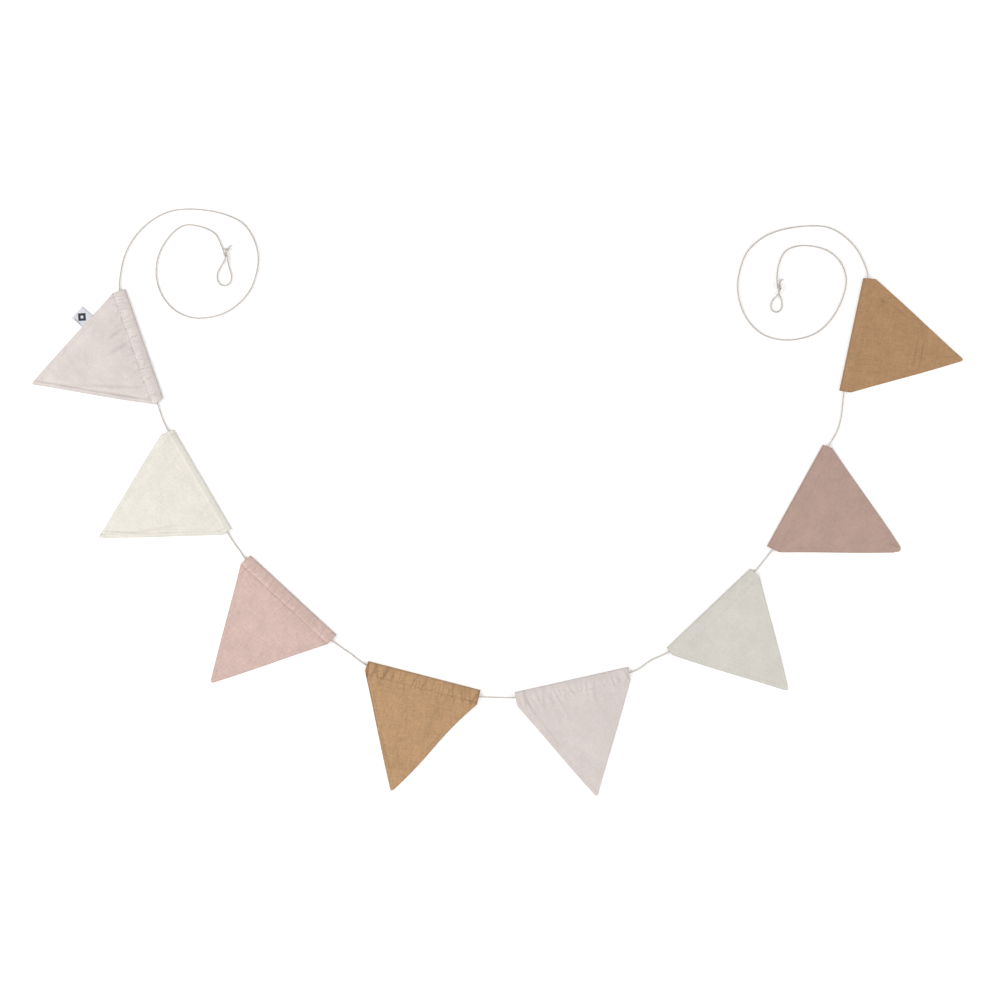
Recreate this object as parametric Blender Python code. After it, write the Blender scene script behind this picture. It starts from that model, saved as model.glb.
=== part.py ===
"""Fabric bunting: eight cloth pennants threaded on one thin cord, laid out flat in a U.

Metres, +Z up. The cloth lies on the plane Z = 0 with its face up. +X runs from the first
pennant to the last and +Y towards the open end of the U. The origin is the middle of the
pennants' outline, on the surface they lie on. Tables are in millimetres and degrees.
"""

import math
from collections import namedtuple

import bmesh
import bpy
from mathutils import Matrix, Vector
from mathutils.geometry import intersect_point_line

MM = 0.001

# Cloth
CLOTH = 1.2  # a pennant is two layers of cloth, turned right side out
HEM = 1.6  # thickness where the side seams roll over
HEM_WIDTH = 5.0
STITCH_DEPTH = 17.5  # the line of stitches that closes the channel, below the heading
STITCH_DIP = 0.35
STITCH_REACH = 3.0
HEADING_EDGE = 1.9  # thickness of the folded heading, and how far in the fold reaches
HEADING_FOLD = 1.0
CROWN = 4.1  # height of the channel over the cord
CROWN_FLAT = 2.6  # half the width of the crown's top
CROWN_REACH = 7.5  # from the cord's line to the foot of the crown
PUCKERS = 13  # across one heading
PUCKER_PHASE = 0.37  # turns each pennant's puckers by its place, so that no two are alike
PUCKER_WAVES = ((0.7, 1.0, 1.0), (0.3, 1.7, 2.1))  # share of the height, count, phase
PUCKER_IN_CHANNEL = 0.35  # how much of a pucker's height shows above the stitches
PUCKER_FADE = 22.0  # and how far below them it dies away

# Cord
CORD = 2.0  # diameter
CORD_LIES = 1.05  # height of the cord's centre on the surface
CORD_THREADED = 2.0  # and inside a channel
CHANNEL = 2.7  # bore left round the cord
CORD_ROUTE_STEPS = 24  # points read from the smooth curve between two route points
CORD_SAG = 0.9  # how far a straight run of the tube may leave the smooth curve
LOOP_SAG = 0.25

# Knots
KNOT_LENGTH = 7.6
KNOT_WIDTH = 6.4
KNOT_HEIGHT = 4.8
KNOT_BEVEL = 1.1
STRAND_SHIFT = 1.3  # each of the two strands at a knot's face lies this far from its axis
STRAND_OUT = 2.4  # how far a strand runs straight out of a knot's face
TAIL_OUT = 1.6
STRAND_KEPT = 0.9  # share of its height that it still has there
TOUCH = 0.3  # gap between pieces that meet

# Label: a folded woven tape, sewn into a side seam of the first pennant
LABEL_WIDTH = 22.0
LABEL_LENGTH = 19.0
LABEL_LAYER = 0.6
LABEL_SPACE = 0.4
LABEL_ALONG = 53.0  # from the end of the channel, along the seam, to the label's middle

# Rows of a pennant's grid: where the cloth is measured, from the heading to the tip.
# "cord" rows are distances from the cord's line, "body" rows are shares of the cloth
# between the stitches and the tip.
CORD_ROWS = (-4.65, -CROWN_FLAT, 0.0, CROWN_FLAT, 5.4)
BODY_ROWS = (0.0, 0.035, 0.09, 0.18, 0.31, 0.46, 0.61, 0.76, 0.88, 0.955, 1.0)
COLUMNS = 22
LEAST_HALF = 0.4  # a tip is never narrower than twice this

# One row for each pennant, in order along the cord.
#   x, y, turn    middle of the heading's edge and the heading's direction
#   width, drop   along the heading, and from the heading to the tip
#   tip           sideways place of the tip, measured from the middle
#   left, right   depth of the channel's open ends
#   flare_l, _r   how much wider the heading is at the foot of each end
#   bow_l, bow_r  bulge of each side
#   wave_l, _r    how far each side swings in and then out on its way to the tip
#   cord_l, _r    depth of the cord where it enters and leaves
#   gather        height of the puckers along the stitches
#   blunt         radius of the tip
Pennant = namedtuple(
    "Pennant",
    "name cloth x y turn width drop tip left flare_l right flare_r bow_l bow_r"
    " wave_l wave_r cord_l cord_r gather blunt",
)
PENNANTS = [
    Pennant("flag_1", "lilac", -486.9, 267.4, -70.8, 158.8, 164.8, 2.0,
            18.4, 0.4, 13.9, 5.5, 0.5, 0.8, 0.3, -0.4, 8.6, 10.4, 0.55, 1.6),
    Pennant("flag_2", "ivory", -406.5, 80.2, -59.7, 159.0, 164.0, -2.5,
            19.2, 2.2, 16.7, 0.8, 0.4, 0.6, -0.3, 0.4, 7.7, 7.8, 0.35, 1.6),
    Pennant("flag_3", "rose", -281.2, -80.1, -42.7, 161.9, 165.6, -1.9,
            17.9, 1.6, 17.8, -0.6, 0.3, 0.5, 0.3, 0.3, 8.5, 10.2, 0.40, 2.0),
    Pennant("flag_4", "camel", -100.5, -191.0, -14.5, 160.0, 165.2, -4.5,
            14.2, 1.4, 20.3, 0.1, 0.4, -0.8, 0.3, 1.8, 6.4, 9.2, 0.45, 1.8),
    Pennant("flag_5", "lilac", 102.0, -196.4, 12.6, 161.0, 164.5, -0.8,
            20.1, 0.4, 18.2, -0.7, 0.3, 0.5, 0.4, -0.3, 7.3, 8.8, 0.60, 2.0),
    Pennant("flag_6", "stone", 290.9, -98.0, 43.5, 159.2, 157.1, 1.6,
            13.5, 1.0, 17.1, 1.8, 0.6, 0.9, -0.4, 0.3, 6.3, 7.9, 0.20, 3.0),
    Pennant("flag_7", "mauve", 410.3, 57.3, 61.1, 159.9, 163.8, 4.4,
            19.7, -1.1, 13.7, 2.2, 0.6, 0.6, 0.4, 0.3, 9.5, 7.9, 0.15, 5.2),
    Pennant("flag_8", "camel_dark", 488.1, 279.5, 78.0, 158.6, 157.8, -2.4,
            16.1, -0.7, 17.1, 2.4, 0.6, 0.4, 0.3, -0.4, 6.6, 6.5, 0.25, 2.2),
]

# Creases pressed into a pennant: two ends as x across and depth below the heading, how
# high the cloth stands along it and half its width.
Crease = namedtuple("Crease", "pennant x1 depth1 x2 depth2 height reach")
CREASES = [
    Crease("flag_1", -46.0, 30.0, -10.0, 118.0, 0.5, 14.0),
    Crease("flag_1", 34.0, 24.0, 6.0, 92.0, 0.45, 12.0),
    Crease("flag_2", 20.0, 34.0, -26.0, 104.0, 0.35, 14.0),
    Crease("flag_3", -30.0, 120.0, 24.0, 96.0, 0.35, 12.0),
    Crease("flag_4", -34.0, 26.0, -6.0, 96.0, 0.4, 12.0),
    Crease("flag_5", -52.0, 34.0, -16.0, 124.0, 0.5, 10.0),
    Crease("flag_6", 18.0, 40.0, 2.0, 112.0, 0.35, 16.0),
    Crease("flag_7", -18.0, 128.0, 26.0, 140.0, 0.45, 9.0),
    Crease("flag_8", -32.0, 110.0, 22.0, 106.0, 0.5, 9.0),
    Crease("flag_8", 30.0, 26.0, 44.0, 74.0, 0.4, 9.0),
]

# The cord's own route where it lies free, from the left knot to the right one.
LEFT_SWIRL = [
    (-380.2, 400.0), (-389.0, 417.5), (-408.5, 427.7), (-430.9, 430.0), (-446.5, 421.0),
    (-461.4, 401.8), (-469.6, 380.5), (-470.4, 357.0), (-462.6, 333.1), (-446.8, 314.0),
    (-423.0, 302.9), (-392.7, 303.8), (-366.3, 314.6), (-342.6, 338.4), (-332.0, 366.2),
    (-330.3, 388.5), (-337.2, 413.0), (-351.8, 432.8), (-375.6, 444.7), (-400.0, 450.3),
    (-428.3, 452.2), (-452.2, 448.9), (-475.9, 437.4), (-499.6, 414.9), (-514.1, 388.5),
    (-520.4, 360.0),
]
RIGHT_SWIRL = [
    (506.2, 376.8), (494.0, 399.2), (472.9, 419.0), (455.1, 427.2), (433.3, 429.1),
    (406.9, 426.7), (384.4, 421.4), (363.3, 411.0), (344.8, 393.2), (335.6, 371.5),
    (331.4, 347.0), (334.9, 322.0), (346.2, 298.1), (365.9, 279.7), (391.0, 272.1),
    (418.8, 273.7), (442.5, 283.0), (461.0, 300.8), (475.5, 327.3), (481.2, 355.0),
    (474.2, 377.4), (458.4, 393.2), (437.3, 400.6), (413.5, 401.1), (397.2, 393.6),
    (388.6, 377.0), (385.8, 360.0),
]
# Between one pennant and the next, in order.
GAPS = [
    [(-461.4, 161.5)],
    [(-366.0, -4.1), (-355.1, -19.3)],
    [(-203.3, -160.4)],
    [(-10.1, -220.9), (3.7, -221.4)],
    [(196.9, -180.7), (210.7, -170.8)],
    [(362.5, -39.1), (373.6, -25.0)],
    [(469.4, 147.7), (474.2, 165.7), (475.6, 175.3)],
]

# A knot at each end: middle, and the direction in which the cord leaves it. Its loop and
# its cut end are routes from one face of the knot, in the same frame as the rest.
Knot = namedtuple("Knot", "side x y turn loop tail")
KNOTS = [
    Knot("left", -375.3, 389.2, 104.0,
         [(-370.6, 373.2), (-367.9, 364.5), (-367.1, 357.2), (-368.6, 351.6),
          (-372.6, 347.8), (-378.0, 346.6), (-382.9, 349.0), (-386.1, 354.4),
          (-386.6, 360.2), (-385.2, 366.2), (-381.6, 372.6)],
         [(-372.8, 397.2), (-367.4, 402.4)]),
    Knot("right", 388.2, 345.2, 101.0,
         [(391.6, 328.0), (392.8, 321.3), (392.0, 316.4), (389.6, 312.3),
          (385.6, 310.0), (381.0, 310.8), (377.6, 314.4), (376.8, 319.6),
          (379.0, 325.8), (383.6, 331.0)],
         [(391.2, 353.2), (394.2, 355.0)]),
]

# Each finish: colour as a hex triple, and roughness.
FINISHES = {
    "lilac": ("dcd3cf", 0.92),
    "ivory": ("ebe7dd", 0.92),
    "rose": ("d8beb5", 0.92),
    "camel": ("bd9a78", 0.92),
    "camel_dark": ("b18f6f", 0.92),
    "stone": ("d8d4cb", 0.92),
    "mauve": ("baa095", 0.92),
    "cord": ("ddd5c4", 0.85),
    "label": ("f1f2f4", 0.7),
}


def clear_scene():
    for obj in list(bpy.data.objects):
        bpy.data.objects.remove(obj, do_unlink=True)


def new_collection(name):
    collection = bpy.data.collections.new(name)
    bpy.context.scene.collection.children.link(collection)
    return collection


def linear(channel):
    return channel / 12.92 if channel <= 0.04045 else ((channel + 0.055) / 1.055) ** 2.4


def finish(name, kind):
    """A material of its own for one piece."""
    colour, roughness = FINISHES[kind]
    material = bpy.data.materials.new(name + "_finish")
    material.use_nodes = True
    shader = material.node_tree.nodes["Principled BSDF"]
    rgb = [linear(int(colour[i:i + 2], 16) / 255) for i in (0, 2, 4)]
    shader.inputs["Base Color"].default_value = (*rgb, 1.0)
    shader.inputs["Roughness"].default_value = roughness
    shader.inputs["Metallic"].default_value = 0.0
    return material


def add_object(name, data, collection, kind=None):
    obj = bpy.data.objects.new(name, data)
    collection.objects.link(obj)
    if kind:
        data.materials.append(finish(name, kind))
    return obj


def blend(a, b, share):
    return a + (b - a) * share


def eased(share):
    """0 to 1, level at both ends."""
    share = min(max(share, 0.0), 1.0)
    return share * share * (3 - 2 * share)


# --- The cord's line ---------------------------------------------------------------


def to_world(pennant, x, depth):
    """A point across the heading and below it, on the surface's plane, in millimetres."""
    turn = math.radians(pennant.turn)
    return Vector((
        pennant.x + x * math.cos(turn) + depth * math.sin(turn),
        pennant.y + x * math.sin(turn) - depth * math.cos(turn),
    ))


def side_x(pennant, depth, side):
    """x of a pennant's edge at a depth; side is -1 for the left and +1 for the right."""
    left = side < 0
    end = pennant.left if left else pennant.right
    flare = pennant.flare_l if left else pennant.flare_r
    bow = pennant.bow_l if left else pennant.bow_r
    foot = pennant.width / 2 + flare
    if depth <= end:
        return side * blend(pennant.width / 2, foot, depth / end)
    wave = pennant.wave_l if left else pennant.wave_r
    # The sides would meet at a point past the tip, which is rounded: nearer to the tip
    # than its radius the side follows a circle.
    half_angle = math.atan2(pennant.width / 2, pennant.drop)
    corner = pennant.drop + pennant.blunt * (1 / math.sin(half_angle) - 1)
    share = (depth - end) / (corner - end)
    swing = bow * math.sin(math.pi * share) - wave * math.sin(2 * math.pi * share)
    straight = blend(side * foot, pennant.tip, share) + side * swing
    rest = pennant.drop - depth
    if rest < pennant.blunt:
        square = pennant.blunt**2 - (pennant.blunt - rest) ** 2
        near = pennant.tip + side * math.sqrt(max(square, LEAST_HALF**2))
        return min(straight, near) if side > 0 else max(straight, near)
    return straight


def cord_depth(pennant, x):
    """Depth of the cord inside the channel."""
    return blend(pennant.cord_l, pennant.cord_r, x / pennant.width + 0.5)


def knot_point(knot, along, across):
    turn = math.radians(knot.turn)
    return Vector((
        knot.x + along * math.cos(turn) + across * math.sin(turn),
        knot.y + along * math.sin(turn) - across * math.cos(turn),
    ))


def knot_strand(knot, face, side, points, out=STRAND_OUT):
    """A strand's first points at a knot's face, straight out of it, and then its own."""
    first = knot_point(knot, face * (KNOT_LENGTH / 2 + TOUCH), side * STRAND_SHIFT)
    second = knot_point(knot, face * (KNOT_LENGTH / 2 + TOUCH + out), side * STRAND_SHIFT)
    high = KNOT_HEIGHT / 2
    start = [(*first, high), (*second, high * STRAND_KEPT)]
    return start + [(*p, CORD_LIES) for p in points]


def cord_stations():
    """The route of the cord from knot to knot, as (x, y, z, name of its pennant or None)."""
    left, right = KNOTS
    route = [(*p, None) for p in knot_strand(left, 1, -1, LEFT_SWIRL)]
    for pennant, gap in zip(PENNANTS, GAPS + [[]]):
        left_x = side_x(pennant, pennant.cord_l, -1)
        right_x = side_x(pennant, pennant.cord_r, 1)
        for share in (0.0, 0.25, 0.5, 0.75, 1.0):
            x = blend(left_x, right_x, share)
            point = to_world(pennant, x, cord_depth(pennant, x))
            route.append((*point, CORD_THREADED, pennant.name))
        route += [(*p, CORD_LIES, None) for p in gap]
    route += [(*p, CORD_LIES, None) for p in RIGHT_SWIRL]
    return route + [(*p, None) for p in reversed(knot_strand(right, 1, -1, []))]


def smooth(route):
    """A centripetal Catmull-Rom curve through route, as one list of points for each of
    its spans. Heights ease from one route point to the next, so they never overshoot."""
    points = [Vector(p[:2]) for p in route]
    first = points[0] * 2 - points[1]
    last = points[-1] * 2 - points[-2]
    points = [first] + points + [last]
    spans = []
    for i in range(1, len(points) - 2):
        p0, p1, p2, p3 = points[i - 1:i + 3]
        t1 = math.sqrt((p1 - p0).length)
        t2 = t1 + math.sqrt((p2 - p1).length)
        t3 = t2 + math.sqrt((p3 - p2).length)
        span = []
        for step in range(CORD_ROUTE_STEPS + 1):
            share = step / CORD_ROUTE_STEPS
            t = blend(t1, t2, share)
            a1 = p0.lerp(p1, t / t1)
            a2 = p1.lerp(p2, (t - t1) / (t2 - t1))
            a3 = p2.lerp(p3, (t - t2) / (t3 - t2))
            b1 = a1.lerp(a2, t / t2)
            b2 = a2.lerp(a3, (t - t1) / (t3 - t1))
            z = blend(route[i - 1][2], route[i][2], eased(share))
            span.append(Vector((*b1.lerp(b2, (t - t1) / (t2 - t1)), z)))
        spans.append(span)
    return spans


def thinned(points, sag):
    """The fewest of points whose straight runs stay within sag of the others."""
    start, end = points[0], points[-1]
    off = [(p - intersect_point_line(p, start, end)[0]).length for p in points[1:-1]]
    if not off or max(off) <= sag:
        return [start, end]
    middle = off.index(max(off)) + 1
    return thinned(points[:middle + 1], sag)[:-1] + thinned(points[middle:], sag)


def joined(spans):
    return spans[0] + [p for span in spans[1:] for p in span[1:]]


def cord_runs():
    """The cord's points, thinned, as (name of the pennant that holds them or None, points).
    A run starts where the one before it ends."""
    stations = cord_stations()
    runs = []
    for i, span in enumerate(smooth(stations)):
        inside = stations[i][3] if stations[i][3] == stations[i + 1][3] else None
        if runs and runs[-1][0] == inside:
            runs[-1][1].append(span)
        else:
            runs.append((inside, [span]))
    return [(name, thinned(joined(spans), CORD_SAG)) for name, spans in runs]


# --- Tubes -------------------------------------------------------------------------


def tube(name, points, diameter, collection, kind=None):
    """A curve with a round section and closed ends, through points in millimetres."""
    curve = bpy.data.curves.new(name, "CURVE")
    curve.dimensions = "3D"
    curve.twist_mode = "Z_UP"
    curve.bevel_depth = diameter / 2 * MM
    curve.bevel_resolution = 2
    curve.use_fill_caps = True
    spline = curve.splines.new("POLY")
    spline.points.add(len(points) - 1)
    for spot, point in zip(spline.points, points):
        spot.co = (*(point * MM), 1.0)
    return add_object(name, curve, collection, kind)


def made_mesh(obj):
    """obj, a curve, as a closed mesh object with the same name and place."""
    bpy.context.view_layer.update()
    evaluated = obj.evaluated_get(bpy.context.evaluated_depsgraph_get())
    mesh = bpy.data.meshes.new_from_object(evaluated)
    bm = bmesh.new()
    bm.from_mesh(mesh)
    bmesh.ops.remove_doubles(bm, verts=bm.verts, dist=0.00001)
    bmesh.ops.recalc_face_normals(bm, faces=bm.faces)
    bm.to_mesh(mesh)
    bm.free()
    name, collection, place = obj.name, obj.users_collection[0], obj.matrix_world.copy()
    bpy.data.objects.remove(obj, do_unlink=True)
    solid = add_object(name, mesh, collection)
    solid.matrix_world = place
    return solid


# --- Pennants ----------------------------------------------------------------------


def row_depth(pennant, row, x):
    """Depth of one of the grid's rows at x."""
    if row == 0:
        return 0.0
    if row <= len(CORD_ROWS):
        return cord_depth(pennant, x) + CORD_ROWS[row - 1]
    share = BODY_ROWS[row - 1 - len(CORD_ROWS)]
    return blend(STITCH_DEPTH, pennant.drop, share)


def pucker(pennant, x):
    """Uneven waves along the heading, from -1 to 1."""
    phase = pennant.x * PUCKER_PHASE
    turn = 2 * math.pi * PUCKERS * x / pennant.width
    return sum(
        share * math.sin(count * turn + shift * phase) for share, count, shift in PUCKER_WAVES
    )


def crease_height(crease, x, depth):
    start = Vector((crease.x1, crease.depth1))
    end = Vector((crease.x2, crease.depth2))
    point = Vector((x, depth))
    share = intersect_point_line(point, start, end)[1]
    near = start.lerp(end, min(max(share, 0.0), 1.0))
    off = (point - near).length / crease.reach
    return crease.height * (1 - eased(off))


def cloth_height(pennant, x, depth, edge):
    """Height of a pennant's face at x and depth; edge is the distance to its side."""
    off_cord = abs(depth - cord_depth(pennant, x))
    crown = 1 - eased((off_cord - CROWN_FLAT) / (CROWN_REACH - CROWN_FLAT))
    body = blend(HEM, CLOTH, eased(edge / HEM_WIDTH))
    if depth < HEADING_FOLD:
        body = HEADING_EDGE
    height = blend(body, CROWN, crown)
    below_stitch = depth - STITCH_DEPTH
    height -= STITCH_DIP * (1 - eased(abs(below_stitch) / STITCH_REACH))
    strength = PUCKER_IN_CHANNEL
    if below_stitch >= 0:
        strength = math.exp(-below_stitch / PUCKER_FADE)
    height += strength * pennant.gather * (pucker(pennant, x) + 1) / 2
    for crease in CREASES:
        if crease.pennant == pennant.name:
            height += crease_height(crease, x, depth)
    return height


def pennant_mesh(pennant):
    """A grid shaped to the pennant's face, with walls down to a flat underside."""
    rows = len(CORD_ROWS) + len(BODY_ROWS)
    bm = bmesh.new()
    bmesh.ops.create_grid(bm, x_segments=COLUMNS, y_segments=rows, size=0.5)
    for vert in bm.verts:
        share = vert.co.x + 0.5
        row = round((0.5 - vert.co.y) * rows)
        guess = blend(-0.5, 0.5, share) * pennant.width
        depth = row_depth(pennant, row, guess)
        left = side_x(pennant, depth, -1)
        right = side_x(pennant, depth, 1)
        x = blend(left, right, share)
        edge = min(x - left, right - x)
        vert.co = (x, -depth, cloth_height(pennant, x, depth, edge))
    rim = [edge for edge in bm.edges if edge.is_boundary]
    walls = bmesh.ops.extrude_edge_only(bm, edges=rim)["geom"]
    for item in walls:
        if isinstance(item, bmesh.types.BMVert):
            item.co.z = 0.0
    under = [edge for edge in bm.edges if edge.is_boundary]
    bmesh.ops.edgeloop_fill(bm, edges=under)
    bmesh.ops.recalc_face_normals(bm, faces=bm.faces)
    bmesh.ops.triangulate(bm, faces=bm.faces)
    bmesh.ops.scale(bm, verts=bm.verts, vec=(MM, MM, MM))
    mesh = bpy.data.meshes.new(pennant.name)
    bm.to_mesh(mesh)
    bm.free()
    return mesh


def add_pennant(pennant, run, collection, cutters):
    """The cloth, with a bore through its channel where the cord runs."""
    obj = add_object(pennant.name, pennant_mesh(pennant), collection, pennant.cloth)
    obj.location = (pennant.x * MM, pennant.y * MM, 0.0)
    obj.rotation_euler.z = math.radians(pennant.turn)
    ahead = run[0] + (run[0] - run[1]).normalized() * CHANNEL
    behind = run[-1] + (run[-1] - run[-2]).normalized() * CHANNEL
    bore = tube("bore_" + pennant.name, [ahead] + run[1:-1] + [behind], CHANNEL, cutters)
    bore = made_mesh(bore)
    bore.hide_render = True
    bore.display_type = "WIRE"
    cut = obj.modifiers.new("channel", "BOOLEAN")
    cut.operation = "DIFFERENCE"
    cut.solver = "EXACT"
    cut.object = bore
    obj.data.shade_smooth()
    obj.data.set_sharp_from_angle(angle=math.radians(40))
    return obj


# --- Knots and label ---------------------------------------------------------------


def add_knot(knot, collection):
    """The outer form of an overhand knot: a short barrel with flat faces."""
    bm = bmesh.new()
    bmesh.ops.create_cone(
        bm,
        cap_ends=True,
        segments=16,
        radius1=0.5,
        radius2=0.5,
        depth=1.0,
        matrix=Matrix.Rotation(math.radians(90), 4, "Y"),
    )
    bmesh.ops.scale(bm, verts=bm.verts, vec=(KNOT_LENGTH, KNOT_WIDTH, KNOT_HEIGHT))
    ends = [edge for edge in bm.edges if abs(edge.verts[0].co.x - edge.verts[1].co.x) < 0.01]
    bmesh.ops.bevel(bm, geom=ends, offset=KNOT_BEVEL, segments=3, profile=0.5,
                    affect="EDGES")
    bmesh.ops.scale(bm, verts=bm.verts, vec=(MM, MM, MM))
    mesh = bpy.data.meshes.new("knot_" + knot.side)
    bm.to_mesh(mesh)
    bm.free()
    obj = add_object(mesh.name, mesh, collection, "cord")
    obj.location = (knot.x * MM, knot.y * MM, KNOT_HEIGHT / 2 * MM)
    obj.rotation_euler.z = math.radians(knot.turn)
    mesh.shade_smooth()
    return obj


def add_loop_and_tail(knot, collection):
    legs = knot_strand(knot, -1, 1, knot.loop) + list(reversed(knot_strand(knot, -1, -1, [])))
    tail = knot_strand(knot, 1, 1, knot.tail, out=TAIL_OUT)
    for name, route in (("loop_", legs), ("tail_", tail)):
        points = thinned(joined(smooth(route)), LOOP_SAG)
        tube(name + knot.side, points, CORD, collection, "cord")


def add_label(collection):
    """A tape folded once at its outer end; the open end meets the side seam."""
    first = PENNANTS[0]
    foot = Vector((side_x(first, first.left, -1), -first.left))
    tip = Vector((first.tip, -first.drop))
    seam = (tip - foot).normalized()
    outward = Vector((seam.y, -seam.x))
    start = foot + seam * LABEL_ALONG + outward * (first.bow_l + TOUCH)
    # The section runs in from the open end, round the fold and back, in a plane across
    # the seam.
    high = 2 * LABEL_LAYER + LABEL_SPACE
    outer = high / 2
    inner = LABEL_SPACE / 2
    bend = LABEL_LENGTH - outer
    turns = [math.radians(90 - 30 * i) for i in range(7)]
    section = [(0.0, high)]
    section += [(bend + outer * math.cos(t), outer + outer * math.sin(t)) for t in turns]
    section += [(0.0, 0.0), (0.0, LABEL_LAYER)]
    section += [
        (bend + inner * math.cos(t), outer + inner * math.sin(t)) for t in reversed(turns)
    ]
    section += [(0.0, LABEL_LAYER + LABEL_SPACE)]
    curve = bpy.data.curves.new("label", "CURVE")
    curve.dimensions = "2D"
    curve.fill_mode = "BOTH"
    curve.extrude = LABEL_WIDTH / 2 * MM
    spline = curve.splines.new("POLY")
    spline.points.add(len(section) - 1)
    for spot, (out, up) in zip(spline.points, section):
        spot.co = (out * MM, up * MM, 0.0, 1.0)
    spline.use_cyclic_u = True
    obj = add_object("label", curve, collection, "label")
    turn = math.radians(first.turn)
    place = to_world(first, start.x, -start.y)
    heading = math.atan2(outward.y, outward.x) + turn
    obj.location = (place.x * MM, place.y * MM, 0.0)
    obj.rotation_euler = (math.radians(90), 0.0, heading)
    return obj


def main():
    clear_scene()
    collection = new_collection("fabric_bunting")
    cutters = new_collection("cutters")
    runs = cord_runs()
    held = {name: points for name, points in runs if name}
    for pennant in PENNANTS:
        add_pennant(pennant, held[pennant.name], collection, cutters)
    tube("cord", joined([points for _, points in runs]), CORD, collection, "cord")
    for knot in KNOTS:
        add_knot(knot, collection)
        add_loop_and_tail(knot, collection)
    add_label(collection)


main()
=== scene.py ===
"""The looks of a fabric bunting: eight cloth pennants on one thin cord, laid out in a U.

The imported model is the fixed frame, and finer pieces stand in the place of its plain ones.
Tables are in millimetres and degrees, as in the model's own source; meshes are in metres.
"""

import math
from collections import namedtuple

import bpy
import numpy as np
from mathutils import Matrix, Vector


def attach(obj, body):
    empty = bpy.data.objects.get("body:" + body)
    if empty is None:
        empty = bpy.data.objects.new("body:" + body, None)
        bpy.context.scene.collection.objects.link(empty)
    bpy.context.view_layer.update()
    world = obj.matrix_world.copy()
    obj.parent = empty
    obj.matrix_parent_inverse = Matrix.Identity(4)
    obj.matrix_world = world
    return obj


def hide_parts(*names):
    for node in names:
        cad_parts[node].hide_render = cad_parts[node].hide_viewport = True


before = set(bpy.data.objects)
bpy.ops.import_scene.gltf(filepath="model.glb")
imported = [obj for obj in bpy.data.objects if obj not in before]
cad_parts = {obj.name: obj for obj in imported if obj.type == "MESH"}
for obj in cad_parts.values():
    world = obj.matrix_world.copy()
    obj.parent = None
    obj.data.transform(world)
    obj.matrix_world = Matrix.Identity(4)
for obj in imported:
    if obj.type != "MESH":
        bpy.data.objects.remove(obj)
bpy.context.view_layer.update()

MM = 0.001

# Picture: straight down on the whole bunting
FIELD = 1.38  # metres across the floor that the picture holds
VIEW_CENTRE = (0.00366, 0.0511)
LENS = 85.0
SENSOR = 36.0

# Cloth
LAYER = 0.5  # one layer of a pennant, which is two layers turned right side out
THICK = 1.15
FLOOR_GAP = 0.05
EDGE_ROLL = 1.0  # radius of the turned edges
MOUTH_ROLL = 0.18  # and of one layer's edge at the channel's open ends
HEM_WIDTH = 5.2  # seam allowance felt through the cloth along the sides
HEM_STEP = 1.5
CHANNEL_TOP = 0.9  # depth of the fold that starts the channel
STITCH_DEPTH = 17.5  # and of the stitches that close it
CREST = 3.4  # height of the cloth over the cord
FOLD_RISE = 0.9  # how much the fold along the heading stands over a flat edge
SEAM_RISE = 0.75  # how far the stitches are held up off the floor
RISE_FROM = 11.0  # depth at which that starts
SEAM_FALL = 28.0  # and how far into the body it goes
LEAST_HALF = 0.4  # half of the width that a pennant keeps at its tip

# Painted shade on the cloth's colour
SIDE_SHADE = 0.4  # painted shade at its sides
SIDE_REACH = 1.5
HEADING_SHADE = 0.55  # and painted shade at the fold along its heading
HEADING_REACH = 1.9
CREASE_SHADE = 0.7  # the colour of the fullest painted shade, as a share of the cloth's own
TROUGH_SHADE = 1.2  # painted shade in a trough, for each millimetre of its depth

# Fine creases across the stitches, as bumps and painted shade
GATHER_PITCH = 4.6
GATHER_HALF = 0.13  # half of one crease's width, in pitches
GATHER_SWAY = 1.6  # how far they wander to the side, in pitches
GATHER_BENDS = (15.0, 22.0, 1.0)  # size of the noise that makes them wander
GATHER_PATCH = (7.0, 16.0, 1.0)  # and of the one that breaks them up
GATHER_SHOWN = (0.45, 0.58)  # where in that one they start and are whole
GATHER_ABOVE = (1.0, 9.5)  # depths where they start and are whole
GATHER_BELOW = (31.5, 17.5)  # and where they end and are still whole
GATHER_DEPTH = 0.4

# Thread
STITCH_LENGTH = 2.3
STITCH_PITCH = 2.9
STITCH_THICK = 0.36
STITCH_SIDES = 6
THREAD_PALER = 0.2  # than its cloth

# Cord: three strands laid together
CORD = 2.0
CORD_LIES = 1.05
CORD_THREADED = 1.68
CORD_STEP = 0.7  # from ring to ring
CORD_SIDES = 12
CORD_LAY = 9.0  # one full turn of the strands
CORD_STRANDS = 3
CORD_GROOVE = 0.11  # depth between two strands, as a share of the radius
GROOVE_SHARP = 1.5  # more is narrower
ROUTE_STEPS = 24  # from one route point to the next

# Knots
KNOT_LENGTH = 7.6
KNOT_HEIGHT = 4.8
TOUCH = 0.3  # from the end of a knot to where its strands come out
STRAND_SHIFT = 1.3  # how far they come out to the side of its axis
STRAND_OUT = 2.4  # how far on the one that leaves
STRAND_KEPT = 0.9  # still has this share of its height
WRAP_FLAT = 0.84  # a wrap is this much lower than it is wide
WRAP_PITCH = 2.05
WRAP_FLOOR = 0.07  # height of the lowest one over the floor
WRAP_POINTS = 14  # in one turn

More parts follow.
